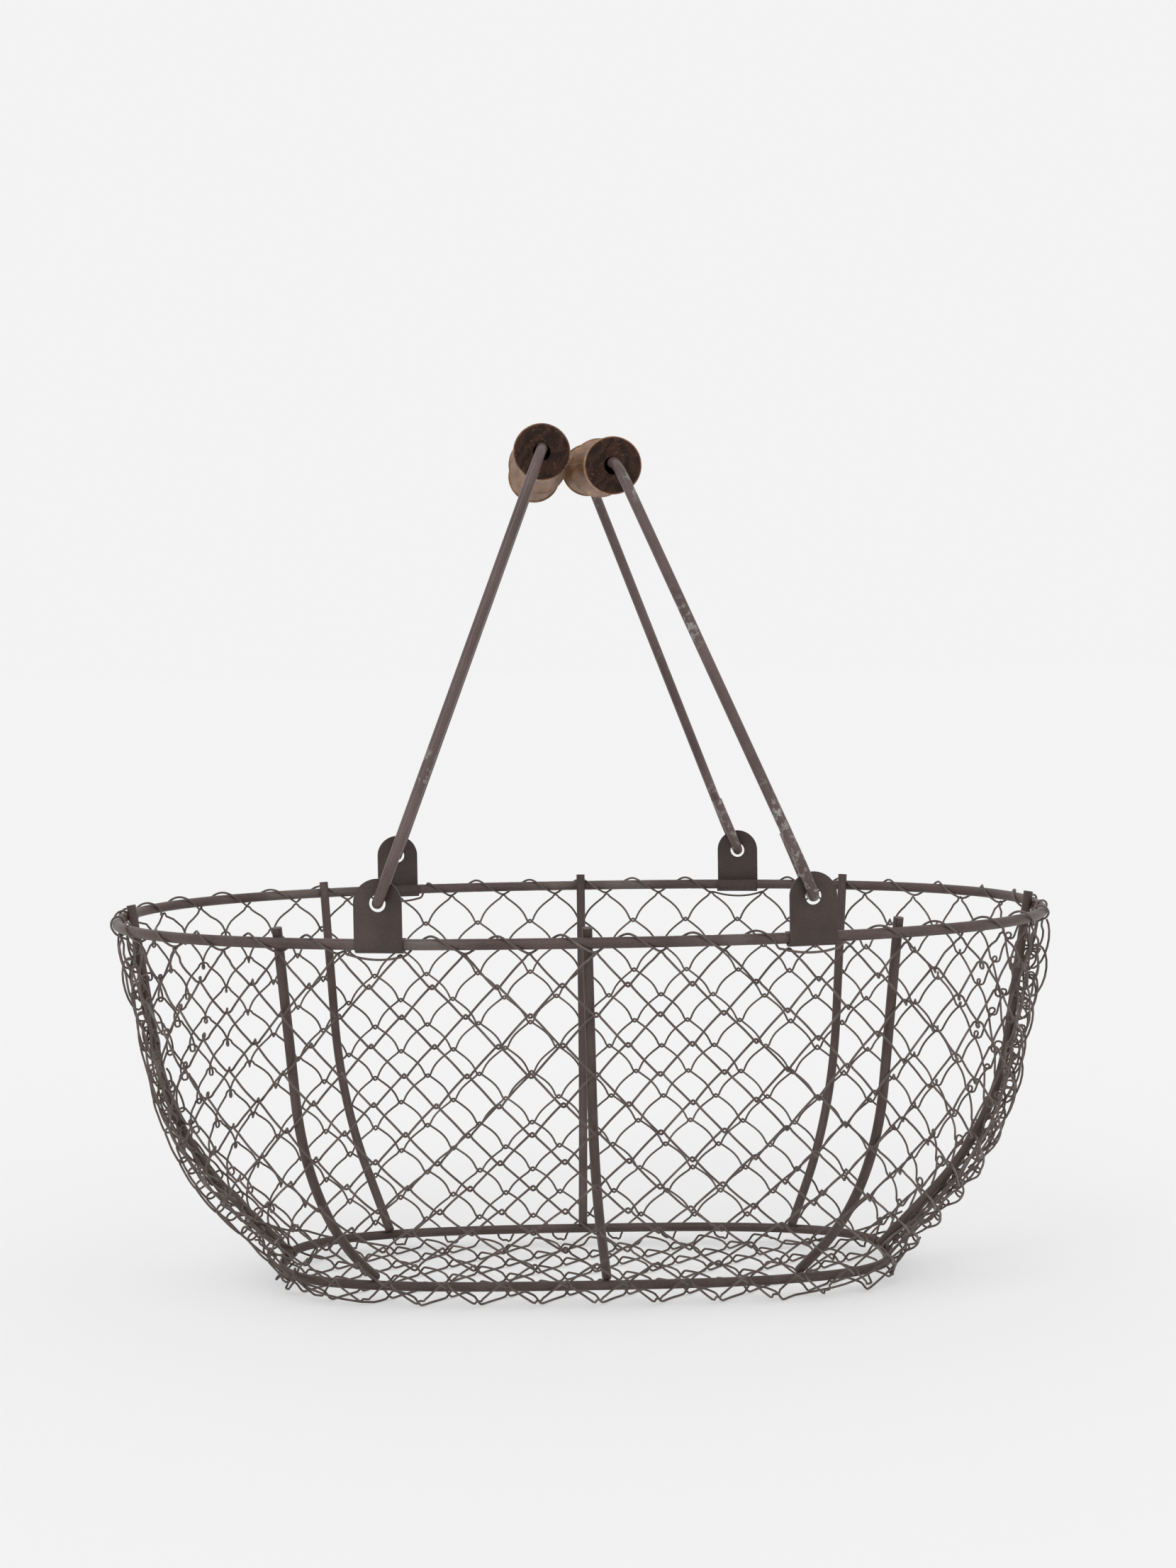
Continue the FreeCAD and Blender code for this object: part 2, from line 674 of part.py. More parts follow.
def build_bail(end, sign):
    name = f"bail_{end}"
    route = feature(f"{name}_route", bail_route(end))
    section = doc.addObject("Part::Circle", f"{name}_section")
    section.setExpression("Radius", f"{ref('bail_wire')} / 2")
    tip = Vector(size("hook_inside") - hinge(end)[2], size("hook_stub"), 0)
    section.Placement = Placement(tip, Rotation(Vector(1, 0, 0), 90))
    bail = doc.addObject("Part::Sweep", name)
    bail.Sections = [section]
    bail.Spine = (route, [f"Edge{n + 1}" for n in range(len(route.Shape.Edges))])
    bail.Solid = True
    bail.Frenet = False
    bail.Transition = "Transformed"
    bail.Placement = bail_placement(end, sign)
    bail.Label = name
    return bail


# ---------------------------------------------------------------- grips

def grip_outline():
    """The turned outline of one half: the end's straight points, the cove's lowest point and its end."""
    half = size("grip_length") / 2.0
    end, cove, ridge = (size(name) / 2.0 for name in ("grip_end", "grip_cove", "grip_ridge"))
    edge, step, land = size("grip_edge"), size("grip_step"), size("grip_land")
    straight = [
        Vector(size("grip_bore") / 2.0, half, 0),
        Vector(end - edge, half, 0),
        Vector(end, half - edge, 0),
        Vector(end, half - land, 0),
        Vector(end - step, half - land, 0),
    ]
    cove_low = Vector(cove, half * size("grip_cove_at"), 0)
    cove_end = Vector(ridge - step, size("grip_ridge_width") / 2.0, 0)
    return straight, cove_low, cove_end


def mirrored(point):
    return Vector(point.x, -point.y, 0)


def grip_edges():
    """The grip's half section in order, closed along the bore."""
    straight, cove_low, cove_end = grip_outline()
    far = [mirrored(point) for point in reversed(straight)]
    edges = [Part.LineSegment(*ends) for ends in zip(straight, straight[1:])]
    edges.append(Part.Arc(straight[-1], cove_low, cove_end))
    edges.append(Part.Arc(cove_end, Vector(size("grip_ridge") / 2.0, 0, 0), mirrored(cove_end)))
    edges.append(Part.Arc(mirrored(cove_end), mirrored(cove_low), far[0]))
    edges += [Part.LineSegment(*ends) for ends in zip(far, far[1:])]
    edges.append(Part.LineSegment(far[-1], straight[0]))
    return edges


def grip_placement(end, sign):
    """The grip hangs on its wire, so its axis lies a little below the wire's."""
    slope, reach = bar_line(end)
    turn = bail_lean(end, sign)
    centre = hinge(end)[0] + turn.multVec(Vector(0, 0, reach)) - Vector(0, 0, size("grip_hang"))
    return Placement(centre, turn.multiply(Rotation(Vector(0, 0, 1), Vector(0, 1, slope))))


def build_grip(end, sign):
    name = f"grip_{end}"
    body = doc.addObject("PartDesign::Body", name)
    body.Label = name
    sketch = new_sketch(body, f"{name}_profile", "XZ_Plane")
    for edge in grip_edges():
        sketch.addGeometry(edge)
    bind(sketch, "DistanceX", (-1, 1, 11, 1), size("grip_bore") / 2.0, f"{ref('grip_bore')} / 2")
    turned = body.newObject("PartDesign::Revolution", f"{name}_turned")
    turned.Profile = sketch
    turned.ReferenceAxis = (sketch, ["V_Axis"])
    turned.Angle = 360.0
    body.Tip = turned
    body.Placement = grip_placement(end, sign)
    return body


# ---------------------------------------------------------------- checks and export

def check_document(parts):
    doc.recompute()
    for item in doc.Objects:
        if "Invalid" in item.State or "Error" in item.State:
            raise RuntimeError(f"{item.Label} failed: {item.State}")
    for part in parts:
        shape = part.Shape
        if shape.isNull() or not shape.isValid() or not shape.Solids:
            raise RuntimeError(f"{part.Label} has no valid solid")


def export(parts):
    os.makedirs("parts", exist_ok=True)
    for part in parts:
        part.Shape.exportStep(f"parts/{part.Label}.step")
        box = part.Shape.optimalBoundingBox()
        print(f"{part.Label}: {len(part.Shape.Solids)} solid(s), {part.Shape.Volume:.0f} mm3,"
              f" z {box.ZMin:.2f} to {box.ZMax:.2f}")


def main():
    fill_sheet()
    parts = build_rings()
    parts += build_ribs()
    parts += build_fabric()
    parts += build_lacing()
    parts += build_tabs()
    sides = (("left", -1), ("right", 1))
    parts += [build_bail(end, sign) for end, sign in sides]
    parts += [build_grip(end, sign) for end, sign in sides]
    check_document(parts)
    for end, sign in sides:
        line = bail_lean(end, sign).multVec(Vector(0, sign, 0))
        grip = grip_placement(end, sign)
        axis = grip.Rotation.multVec(Vector(0, 0, 1))
        print(f"hinge {end} at {tuple(hinge(end)[0])} along {tuple(line)}")
        print(f"grip {end} at {tuple(grip.Base)} along {tuple(axis)}")
    export(parts)


main()
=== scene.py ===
import json
import math

import bpy
import numpy as np
from mathutils import Matrix, Vector


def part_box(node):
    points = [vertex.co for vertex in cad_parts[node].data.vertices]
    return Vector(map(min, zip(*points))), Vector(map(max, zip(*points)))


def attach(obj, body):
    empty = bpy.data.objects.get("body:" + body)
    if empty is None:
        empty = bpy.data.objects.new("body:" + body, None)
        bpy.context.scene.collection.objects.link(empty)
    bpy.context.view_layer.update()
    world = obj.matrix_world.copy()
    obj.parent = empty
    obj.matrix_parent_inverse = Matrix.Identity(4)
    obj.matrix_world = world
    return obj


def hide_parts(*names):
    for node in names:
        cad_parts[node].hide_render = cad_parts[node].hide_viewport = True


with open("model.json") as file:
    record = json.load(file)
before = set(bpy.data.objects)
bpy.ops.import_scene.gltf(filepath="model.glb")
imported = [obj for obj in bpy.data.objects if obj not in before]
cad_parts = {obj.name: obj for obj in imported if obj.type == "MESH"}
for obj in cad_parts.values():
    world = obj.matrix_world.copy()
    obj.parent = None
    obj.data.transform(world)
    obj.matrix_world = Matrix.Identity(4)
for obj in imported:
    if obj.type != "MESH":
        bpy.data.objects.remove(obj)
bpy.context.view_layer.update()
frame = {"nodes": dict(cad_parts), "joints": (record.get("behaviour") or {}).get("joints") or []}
nodes = frame["nodes"]
mm = 0.001

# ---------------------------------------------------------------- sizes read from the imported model

rim_low, rim_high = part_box("rim_ring")
base_low, base_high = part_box("base_ring")
RIM_ROD = (rim_high.z - rim_low.z) / 2
RIM_Z = (rim_high.z + rim_low.z) / 2
RIM_A, RIM_B = rim_high.x - RIM_ROD, rim_high.y - RIM_ROD
BASE_ROD = (base_high.z - base_low.z) / 2
BASE_A, BASE_B = base_high.x - BASE_ROD, base_high.y - BASE_ROD

# The wall's profile: a straight run, an arc and a straight run, as in the CAD. Its top lies this much
# below the rim's middle line, and its foot this far outside the base ring's line and above the floor.
WALL_TOP_DROP = 5.0 * mm
WALL_FOOT = (2.6 * mm, 2.7 * mm)
WALL_LEAN = math.radians(9.3)
WALL_FOOT_SLOPE = math.radians(41.0)
WALL_BEND = 115.0 * mm
RIM_POWER, BASE_POWER = 2.35, 2.9

# Steps of the tables from which the wall's surface is read.
RUN_STEPS, BEND_STEPS = 20, 40
LEVELS = 60
OUTLINE_STEPS, FINE_STEPS = 400, 1600

# The fabric: rows of interlocked flattened coils. WIRE is the wire's radius.
WIRE = 0.5 * mm
ROWS = 14
FLOOR_ROWS = 8
HALF_PITCH = 13.15 * mm
# From the middle of a coil to its two layers of strands, on the walls and on the floor.
LAYER = 1.5 * mm
FLOOR_LAYER = 1.8 * mm
FLOOR_Z = 2.45 * mm
# How far a coil reaches past the middle of its knots, and how much of a half pitch a bend takes.
WALL_OVERLAP, FLOOR_OVERLAP = 0.75 * mm, 0.8 * mm
KNOT, WIDE_KNOT, FLOOR_KNOT = 0.24, 0.42, 0.30
# How much the strands of the front, the back and the floor are bowed, in half pitches.
BOW = {-1: 0.015, 1: -0.13}
FLOOR_BOW = -0.05
COIL_STEPS = 6
STRAND_BULGE = 0.25 * mm
# How far the columns of the mesh lie off the middle, in half pitches.
SHIFT = {-1: 0.42, 1: 0.05}
# Half the blanket's width in half pitches. A row's half width is this share of it plus this share of the
# row's outline, and the power says how late towards the end rib the row is crowded together.
BLANKET = 21.0
BLANKET_SHARE, OUTLINE_SHARE = 0.26, 0.74
CROWDING = 3.2
# The fabric is even up to this column, and most uneven this many columns further out.
EVEN_COLUMNS, UNEVEN_COLUMNS = 7, 12
# Past the base ring, the floor's rows go on by this much at their shortest, and by this more at mid-width.
TURN_UP, TURN_UP_MORE = 10 * mm, 46 * mm

# ---------------------------------------------------------------- camera

YAW, PITCH, ROLL = -0.00575, 0.0520, -0.01521
CAMERA_X, CAMERA_Y, CAMERA_Z = -0.00156, -1.02539, 0.2781
LENS, SENSOR, CLIP = 51.99, 36.0, 200.0
forward = Vector((-math.sin(YAW) * math.cos(PITCH), math.cos(YAW) * math.cos(PITCH), -math.sin(PITCH)))
level = Vector((math.cos(YAW), math.sin(YAW), 0.0))
above = level.cross(forward)
right = level * math.cos(ROLL) + above * math.sin(ROLL)
up = above * math.cos(ROLL) - level * math.sin(ROLL)
camera_data = bpy.data.cameras.new("camera")
camera_data.sensor_fit = "VERTICAL"
camera_data.sensor_height = SENSOR
camera_data.lens = LENS
camera_data.clip_end = CLIP
camera = bpy.data.objects.new("camera", camera_data)
camera.matrix_world = Matrix((
    (right.x, up.x, -forward.x, CAMERA_X),
    (right.y, up.y, -forward.y, CAMERA_Y),
    (right.z, up.z, -forward.z, CAMERA_Z),
    (0, 0, 0, 1)))
bpy.context.scene.collection.objects.link(camera)
bpy.context.scene.camera = camera

# ---------------------------------------------------------------- the wall's surface


def profile_table():
    """The wall's flare and height against the distance down it."""
    top = np.array([RIM_A - BASE_A, RIM_Z - WALL_TOP_DROP])
    foot = np.array(WALL_FOOT)
    lean = np.array([-math.sin(WALL_LEAN), -math.cos(WALL_LEAN)])
    foot_dir = np.array([-math.sin(WALL_FOOT_SLOPE), -math.cos(WALL_FOOT_SLOPE)])
    # where the two straight runs would meet, and the fillet between them
    gap = foot - top
    cross = lean[0] * foot_dir[1] - lean[1] * foot_dir[0]
    corner = top + lean * ((gap[0] * foot_dir[1] - gap[1] * foot_dir[0]) / cross)
    turn = WALL_FOOT_SLOPE - WALL_LEAN
    cut = WALL_BEND * math.tan(turn / 2)
    start, end = corner - lean * cut, corner + foot_dir * cut
    centre = start + WALL_BEND * np.array([-math.cos(WALL_LEAN), math.sin(WALL_LEAN)])
    points = [top + (start - top) * k / RUN_STEPS for k in range(RUN_STEPS)]
    for k in range(BEND_STEPS + 1):
        angle = WALL_LEAN + turn * k / BEND_STEPS
        points.append(centre + WALL_BEND * np.array([math.cos(angle), -math.sin(angle)]))
    points += [end + (foot - end) * k / RUN_STEPS for k in range(1, RUN_STEPS + 1)]
    points = np.array(points)
    run = np.concatenate([[0], np.cumsum(np.linalg.norm(np.diff(points, axis=0), axis=1))])
    return run, points[:, 0], points[:, 1]


RUN, FLARE, HEIGHT = profile_table()
WALL_LENGTH = RUN[-1]
ROW = WALL_LENGTH / ROWS
FLARE_MAX = RIM_A - BASE_A


def quarter(a, b, power):
    """A quarter outline from (0, b) to (a, 0) at equal steps of its length, and that length."""
    t = np.linspace(0, math.pi / 2, FINE_STEPS)
    x = a * np.sin(t) ** (2 / power)
    y = b * np.cos(t) ** (2 / power)
    y[-1] = 0.0
    length = np.concatenate([[0], np.cumsum(np.hypot(np.diff(x), np.diff(y)))])
    even = np.linspace(0, length[-1], OUTLINE_STEPS + 1)
    return np.interp(even, length, x), np.interp(even, length, y), length[-1]


OUTLINE_SHARES = np.linspace(0, 1, OUTLINE_STEPS + 1)
LEVEL_TABLE = []
for level_number in range(LEVELS + 1):
    flare = np.interp(WALL_LENGTH * level_number / LEVELS, RUN, FLARE)
    LEVEL_TABLE.append(quarter(BASE_A + flare, BASE_B + flare,
                               BASE_POWER + (RIM_POWER - BASE_POWER) * flare / FLARE_MAX))
TABLE_X = np.array([outline[0] for outline in LEVEL_TABLE])
TABLE_Y = np.array([outline[1] for outline in LEVEL_TABLE])
TABLE_LENGTH = np.array([outline[2] for outline in LEVEL_TABLE])


def smooth(x):
    """Eases a share from 0 to 1 in and out."""
    return x * x * (3 - 2 * x)


def side_length(t):
    """Length of the outline from its middle to the end rib, at a distance t down the wall."""
    return np.interp(np.clip(t, 0, WALL_LENGTH), np.linspace(0, WALL_LENGTH, LEVELS + 1), TABLE_LENGTH)


def wall_xyz(t, s, side):
    """A point of the wall: t down from its top, s along it from the middle; side -1 front, 1 back."""
    over = np.minimum(t, 0)
    depth = np.clip(t, 0, WALL_LENGTH)
    level_at = np.clip(depth / WALL_LENGTH * LEVELS, 0, LEVELS - 1e-6)
    i = level_at.astype(int)
    f = level_at - i
    share = np.abs(s) / side_length(depth)
    beyond = np.maximum(share - 1, 0)
    k = np.clip(share, 0, 1) * OUTLINE_STEPS
    j = np.minimum(k.astype(int), OUTLINE_STEPS - 1)
    g = k - j

    def pick(table):
        low = table[i, j] * (1 - g) + table[i, j + 1] * g
        high = table[i + 1, j] * (1 - g) + table[i + 1, j + 1] * g
        return low * (1 - f) + high * f

    x = pick(TABLE_X) * np.sign(s)
    y = pick(TABLE_Y) - beyond * side_length(depth)
    z = np.interp(depth, RUN, HEIGHT) - over * math.cos(WALL_LEAN)
    return np.stack([x, y * side, z], axis=-1)


# The fabric is drawn in from this share of a wall's half length on. At the left and the right end it
# comes in by so many millimetres at the rim, and by so many more at the foot, as a power of the depth.
DRAWN_FROM = 0.62
DRAWN_LEFT, DRAWN_RIGHT = (2.6, 7.2, 1.3), (1.2, 5.4, 1.6)


def drawn_in(t, s):
    """How far the fabric is pulled in off the wall's surface, tight against the end ribs at the foot."""
    share = np.clip((np.abs(s) / side_length(t) - DRAWN_FROM) / (1 - DRAWN_FROM), 0, 1)
    depth = np.clip(t / WALL_LENGTH, 0, 1)
    left, right = (rim + foot * depth ** power for rim, foot, power in (DRAWN_LEFT, DRAWN_RIGHT))
    return smooth(share) * np.where(np.asarray(s) < 0, left, right) * mm


def wall_frame(t, s, side):
    """The point of the wall, and the unit direction outward from it."""
    step = 0.2 * mm
    p = wall_xyz(t, s, side)
    along = wall_xyz(t, s + step, side) - wall_xyz(t, s - step, side)
    below = wall_xyz(np.clip(t + step, 0, WALL_LENGTH), s, side)
    down = below - wall_xyz(np.clip(t - step, 0, WALL_LENGTH), s, side)
    along /= np.linalg.norm(along, axis=-1, keepdims=True) + 1e-12
    down /= np.linalg.norm(down, axis=-1, keepdims=True) + 1e-12
    out = np.cross(along, -down) * (1 if side < 0 else -1)
    out /= np.linalg.norm(out, axis=-1, keepdims=True) + 1e-12
    return p, out


def ripple(u, v, seed, scale=1.0):
    """Smooth uneven values between about -1 and 1 over the fabric."""
    a = np.sin(u * 0.83 * scale + v * 0.61 + seed * 1.7) * np.cos(v * 0.47 * scale - u * 0.29 + seed * 2.9)
    b = np.sin(u * 1.93 * scale - v * 1.37 + seed * 4.1) * np.cos(v * 1.21 * scale + u * 0.91 + seed * 0.7)
    c = np.sin(u * 3.71 * scale + v * 2.87 + seed * 5.3)
    return 0.55 * a + 0.35 * b + 0.22 * c


def gathered(x, length):
    """Where a point x along a flat row lies along an outline of that half length.

    Also returns how much the row is squeezed there, and the flat row's half width.
    """
    full = np.maximum(BLANKET * HALF_PITCH * BLANKET_SHARE + length * OUTLINE_SHARE, length)
    over = full - length
    part = np.clip(np.abs(x) / full, 0, 1)
    s = np.abs(x) - over * part ** CROWDING
    squeeze = 1 - CROWDING * over / full * part ** (CROWDING - 1)
    s = np.where(np.abs(x) > full, length, s)
    return np.sign(x) * s, squeeze, full


def coil_turn(half_row, layer, bow, top_share, foot_share):
    """One turn of a flattened coil: height, depth and advance in half pitches, from its top.

    bow rounds the strands towards the top; the shares are how much of the advance each bend takes.
    """
    straight = half_row - layer
    strand = 1 - (top_share + foot_share) / 2
    w, d, a = [], [], []

    def bend(start, stop, count, centre, begin, share):
        for k in range(count):
            angle = start + (stop - start) * k / count
            w.append(centre + layer * math.sin(angle))
            d.append(layer * math.cos(angle))
            a.append(begin + share * k / count)

    def run(sign, begin):
        for k in range(COIL_STEPS):
            part = k / COIL_STEPS
            w.append(sign * straight * (1 - 2 * part))
            d.append(sign * (layer + STRAND_BULGE * math.sin(math.pi * part)))
            a.append(begin + strand * part + sign * bow * math.sin(math.pi * part))

    bend(math.pi / 2, 0, COIL_STEPS // 2, straight, 0, top_share / 2)
    run(1, top_share / 2)
    bend(0, -math.pi, COIL_STEPS, -straight, top_share / 2 + strand, foot_share)
    run(-1, 1 + foot_share / 2)
    bend(math.pi, math.pi / 2, COIL_STEPS // 2, straight, 2 - top_share / 2, top_share / 2)
    return np.array(w), np.array(d), np.array(a)


def coil_line(first, last, phase, turn):
    """A row's height, depth and column along the blanket from column first to last."""
    w, d, a = turn
    turns = np.arange(math.floor((first - phase) / 2) - 1, math.ceil((last - phase) / 2) + 1)
    u = (turns[:, None] * 2 + phase + a[None, :]).ravel()
    ws = np.tile(w, len(turns))
    ds = np.tile(d, len(turns))
    keep = (u >= first) & (u <= last)
    return ws[keep], ds[keep], u[keep]


def wall_row(number, side):
    """One coil of the front (side -1) or back (side 1): number 0 is the row under the rim.

    Returns its points, and how far each lies along the wall and down it.
    """
    t_mid = (number + 0.5) * ROW
    length = float(side_length(np.array(t_mid)))
    full = float(gathered(np.array(0.0), length)[2])
    edge = full / HALF_PITCH
    foot = WIDE_KNOT if number == ROWS - 1 else KNOT
    shares = (KNOT, foot) if side < 0 else (foot, KNOT)
    turn = coil_turn(ROW / 2 + WALL_OVERLAP, LAYER, BOW[side], *shares)
    w, d, u = coil_line(-edge, edge, number % 2 + SHIFT[side], turn)
    if side > 0:
        w = -w
    v = number + 0.5 - w / ROW
    # the place down the whole blanket, front to back, so that neighbouring rows are uneven alike
    place = v if side < 0 else 2 * ROWS + FLOOR_ROWS - v
    s, squeeze, _ = gathered(u * HALF_PITCH, side_length(v * ROW))
    slack = np.clip(1 - squeeze, 0, 1)
    near = np.clip((np.abs(u) - EVEN_COLUMNS) / UNEVEN_COLUMNS, 0, 1)
    s = s + (0.40 + 2.6 * near ** 1.5) * mm * ripple(u, place, 1.0 + side)
    t = v * ROW + (0.35 + 2.2 * near ** 1.5) * mm * ripple(u, place, 3.0 + side)
    knot = np.clip((np.abs(w) - ROW / 2 + 1.0 * mm) / (1.2 * mm), 0, 1)
    loose = np.clip(0.5 + 0.9 * ripple(u, place, 9.0 + side), 0, 1.3)
    t = t - np.sign(w) * knot * np.clip(slack * 1.5 + near * 1.5 * loose, 0, 2.2) * mm
    p, out = wall_frame(t, s, side)
    low = v / ROWS
    depth = d * (1 + 1.6 * slack + (0.9 - 0.5 * low) * near * loose)
    rough = (slack + 0.4 * near) * (1.4 - 0.6 * low) * mm
    depth = depth + 0.25 * mm * ripple(u, place, 5.0) + rough * ripple(u, place, 7.0)
    if number == 0:
        depth = depth * np.clip((t - 1.0 * mm) / (4 * mm), 0.45, 1)
    return p + out * (depth - drawn_in(t, s))[:, None], s, t


def floor_row(number):
    """One coil of the floor, whose ends fold up outside the end ribs.

    Returns its points, and how far each lies along the flat row.
    """
    v = number + 0.5
    y_mid = -BASE_B + 2 * BASE_B * v / FLOOR_ROWS
    room = 1 - (abs(y_mid) / BASE_B) ** 2
    ring_mid = BASE_A * (1 - (abs(y_mid) / BASE_B) ** BASE_POWER) ** (1 / BASE_POWER)
    edge = (ring_mid + TURN_UP + TURN_UP_MORE * room) / HALF_PITCH
    step = 2 * BASE_B / FLOOR_ROWS
    turn = coil_turn(step / 2 + FLOOR_OVERLAP, FLOOR_LAYER, FLOOR_BOW, FLOOR_KNOT, FLOOR_KNOT)
    shift = SHIFT[-1] + (SHIFT[1] - SHIFT[-1]) * v / FLOOR_ROWS
    w, d, u = coil_line(-edge, edge, (number + ROWS) % 2 + shift, turn)
    place = ROWS + v - w / step
    s = u * HALF_PITCH
    y = y_mid - w
    x = s + 0.5 * mm * ripple(u, place, 11.0)
    y = y + 0.5 * mm * ripple(u, place, 12.0)
    flat = np.stack([x, y, np.full_like(x, FLOOR_Z)], axis=-1)
    flat[:, 2] -= d
    # beyond the ring: up the end wall, drawn in towards the end rib
    extra = np.maximum(np.abs(s) - ring_mid + 2 * mm, 0)
    climb = extra * 0.92
    draw = np.exp(-extra / (16 * mm))
    squeeze = 0.30 + 0.70 * draw
    side = -1 if y_mid < 0 else 1
    outline_x, _, outline_length = quarter(BASE_A, BASE_B, BASE_POWER)
    reach = outline_length * (1 - np.interp(ring_mid, outline_x, OUTLINE_SHARES))
    beside = (2.5 + 1.2 * (number % 3)) * mm
    lateral = (reach * draw + beside * (1 - draw)) + (w * squeeze) * (1 if side < 0 else -1)
    t = WALL_LENGTH - climb
    s_wall = np.sign(s) * (side_length(t) - lateral)
    p, out = wall_frame(t, s_wall, side)
    lift = (1.2 + 1.5 * ripple(u, place, 13.0)) * mm * (1 - draw) + d * (1 - 0.2 * (1 - draw))
    wall = p + out * (lift - drawn_in(t, s_wall))[:, None]
    blend = np.clip(extra / (7 * mm), 0, 1)
    blend = smooth(blend)[:, None]
    both = flat * (1 - blend) + wall * blend
    both[:, 2] = np.maximum(both[:, 2], WIRE + 0.02 * mm)
    return both, s


# ---------------------------------------------------------------- wires as tubes


SIDES = 8
SHORTEST = 0.02 * mm
# A direction that no wire starts along.
ASKEW = (0.3, 0.5, 0.81)


class Tubes:
    """Collects round wires and turns them into one mesh."""

    def __init__(self, name):
        self.name, self.points, self.faces = name, [], []

    def add(self, path):
        if len(path) < 2:
            return
        gap = np.linalg.norm(np.diff(path, axis=0), axis=1)
        path = path[np.concatenate([[True], gap > SHORTEST])]
        if len(path) < 2:
            return
        tangent = np.gradient(path, axis=0)
        tangent /= np.linalg.norm(tangent, axis=1, keepdims=True)
        normal = np.cross(tangent[0], ASKEW)
        normal /= np.linalg.norm(normal)
        angles = np.arange(SIDES) * 2 * math.pi / SIDES
        cos, sin = np.cos(angles)[:, None], np.sin(angles)[:, None]
        first = sum(len(p) for p in self.points)
        rings = []
        for point, direction in zip(path, tangent):
            normal = normal - direction * normal.dot(direction)
            normal /= np.linalg.norm(normal)
            other = np.cross(direction, normal)
            rings.append(point + WIRE * (cos * normal + sin * other))
        count = len(path)
        self.points.append(np.concatenate(rings + [path[:1], path[-1:]]))
        for ring in range(count - 1):
            a = first + ring * SIDES
            b = a + SIDES
            for k in range(SIDES):
                turn = (k + 1) % SIDES
                self.faces.append((a + k, a + turn, b + turn, b + k))
        start, end = first + count * SIDES, first + count * SIDES + 1
        last = first + (count - 1) * SIDES
        for k in range(SIDES):
            turn = (k + 1) % SIDES
            self.faces.append((start, first + turn, first + k))
            self.faces.append((end, last + k, last + turn))

    def build(self, material, node):
        """Makes the mesh, which rides on the basket in place of a CAD node."""
        mesh = bpy.data.meshes.new(self.name)
        mesh.from_pydata(np.concatenate(self.points).tolist(), [], self.faces)
        mesh.polygons.foreach_set("use_smooth", [True] * len(mesh.polygons))
        mesh.materials.append(material)
        mesh.update()
        obj = bpy.data.objects.new(self.name, mesh)
        bpy.context.scene.collection.objects.link(obj)
        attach(obj, "basket")
        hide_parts(node)


# ---------------------------------------------------------------- materials


def new_material(name):
    material = bpy.data.materials.new(name)
    material.use_nodes = True
    tree = material.node_tree
    tree.nodes.clear()
    output = tree.nodes.new("ShaderNodeOutputMaterial")
    shader = tree.nodes.new("ShaderNodeBsdfPrincipled")
    tree.links.new(shader.outputs["BSDF"], output.inputs["Surface"])
    coords = tree.nodes.new("ShaderNodeTexCoord")
    return material, tree, shader, coords.outputs["Object"]


def noise(tree, coords, scale, detail, rough, stretch=None):
    source = coords
    if stretch is not None:
        mapping = tree.nodes.new("ShaderNodeMapping")
        mapping.inputs["Scale"].default_value = stretch
        tree.links.new(coords, mapping.inputs["Vector"])
        source = mapping.outputs["Vector"]
    node = tree.nodes.new("ShaderNodeTexNoise")
    node.inputs["Scale"].default_value = scale
    node.inputs["Detail"].default_value = detail
    node.inputs["Roughness"].default_value = rough
    tree.links.new(source, node.inputs["Vector"])
    return node.outputs["Fac"]


def ramp(tree, value, stops):
    """A colour ramp through stops, which are pairs of a position and a colour."""
    node = tree.nodes.new("ShaderNodeValToRGB")
    elements = node.color_ramp.elements
    for element, (position, colour) in zip(elements, (stops[0], stops[-1])):
        element.position, element.color = position, (*colour, 1)
    for position, colour in stops[1:-1]:
        elements.new(position).color = (*colour, 1)
    tree.links.new(value, node.inputs["Fac"])
    return node.outputs["Color"]


def grey(value):
    return (value, value, value)


def math_node(tree, operation, a, b=None, clamp=False):
    node = tree.nodes.new("ShaderNodeMath")
    node.operation, node.use_clamp = operation, clamp
    for socket, value in zip(node.inputs, (a, b)):
        if isinstance(value, (int, float)):
            socket.default_value = value
        elif value is not None:
            tree.links.new(value, socket)
    return node.outputs[0]


def weighted(tree, operation, a, a_share, b, b_share):
    """Adds or subtracts two values, each times its share."""
    first = math_node(tree, "MULTIPLY", a, a_share)
    return math_node(tree, operation, first, math_node(tree, "MULTIPLY", b, b_share))


def mix_colour(tree, factor, a, b, mode="MIX"):
    node = tree.nodes.new("ShaderNodeMix")
    node.data_type, node.blend_type = "RGBA", mode
    for key, value in (("Factor", factor), ("A", a), ("B", b)):
        socket = node.inputs[key]
        if isinstance(value, (int, float)):
            socket.default_value = value
        elif isinstance(value, tuple):
            socket.default_value = (*value, 1)
        else:
            tree.links.new(value, socket)
    return node.outputs["Result"]


def bump(tree, shader, height, strength, distance):
    node = tree.nodes.new("ShaderNodeBump")
    node.inputs["Strength"].default_value = strength
    node.inputs["Distance"].default_value = distance
    tree.links.new(height, node.inputs["Height"])
    tree.links.new(node.outputs["Normal"], shader.inputs["Normal"])


